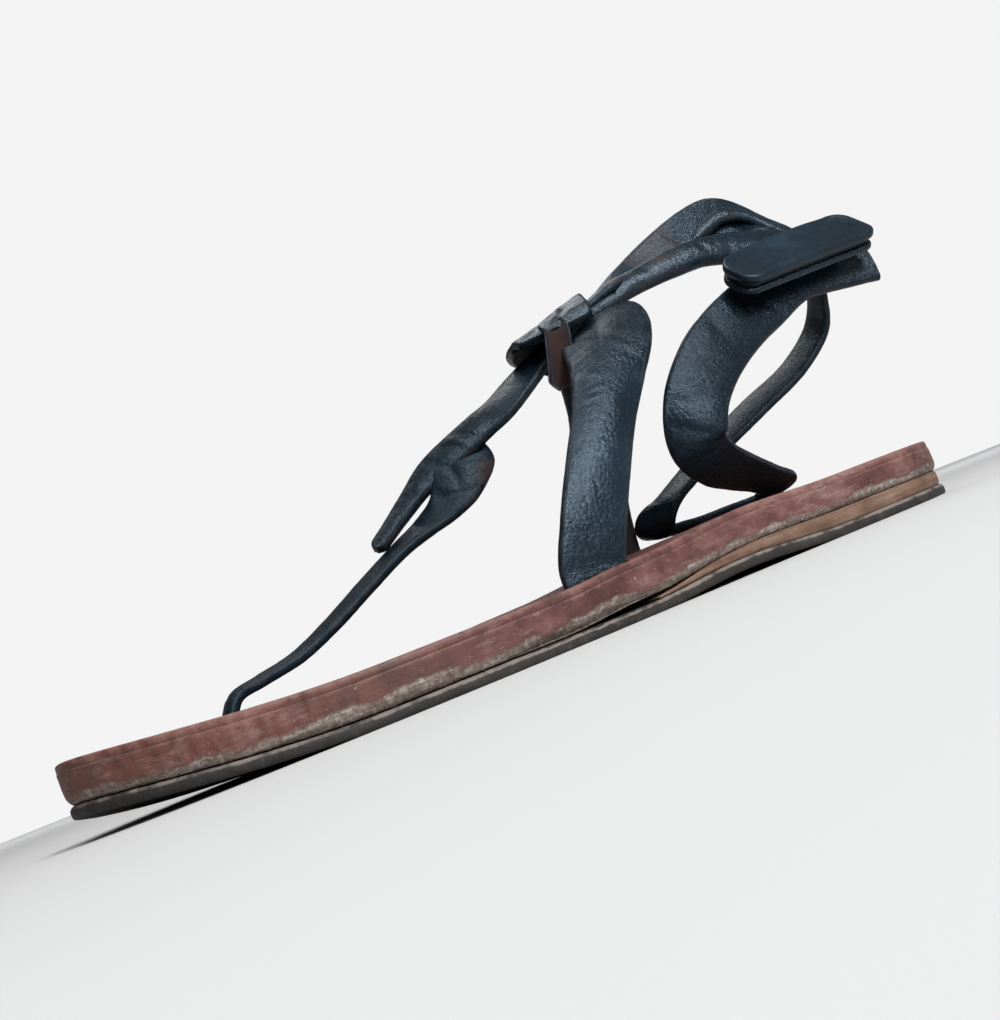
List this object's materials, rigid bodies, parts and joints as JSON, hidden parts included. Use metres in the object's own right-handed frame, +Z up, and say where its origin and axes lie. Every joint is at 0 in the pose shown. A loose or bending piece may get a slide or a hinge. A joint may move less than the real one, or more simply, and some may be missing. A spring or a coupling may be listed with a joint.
{
  "type": "toe post sandal",
  "caption": "Flat toe post sandal for the left foot: thin leather sole stack with a small heel wedge, a T-shaped strap upper and a slack ankle strap with a tab.",
  "frame": {"origin": "on the ground under the centre of the whole sandal's box", "axes": "+Z up from the ground; toe points to -X, heel to +X; outer (lateral) side of the foot to -Y, inner side to +Y"},
  "size_m": [0.2394, 0.087, 0.0965],
  "materials": {
    "outsole_rubber": "worn matt rubber",
    "wedge_leather": "worn stacked leather edge",
    "midsole_leather": "dyed and scuffed edge",
    "insole_leather": "matt, worn",
    "strap_leather": "satin, creased",
    "tab_leather": "satin, polished rim"
  },
  "bodies": {
    "root": {"outsole": "outsole_rubber", "heel_wedge": "wedge_leather", "midsole": "midsole_leather", "insole": "insole_leather", "upper": "strap_leather", "ankle_link": "strap_leather", "ankle_strap": "strap_leather", "ankle_tab": "tab_leather"}
  },
  "joints": []
}
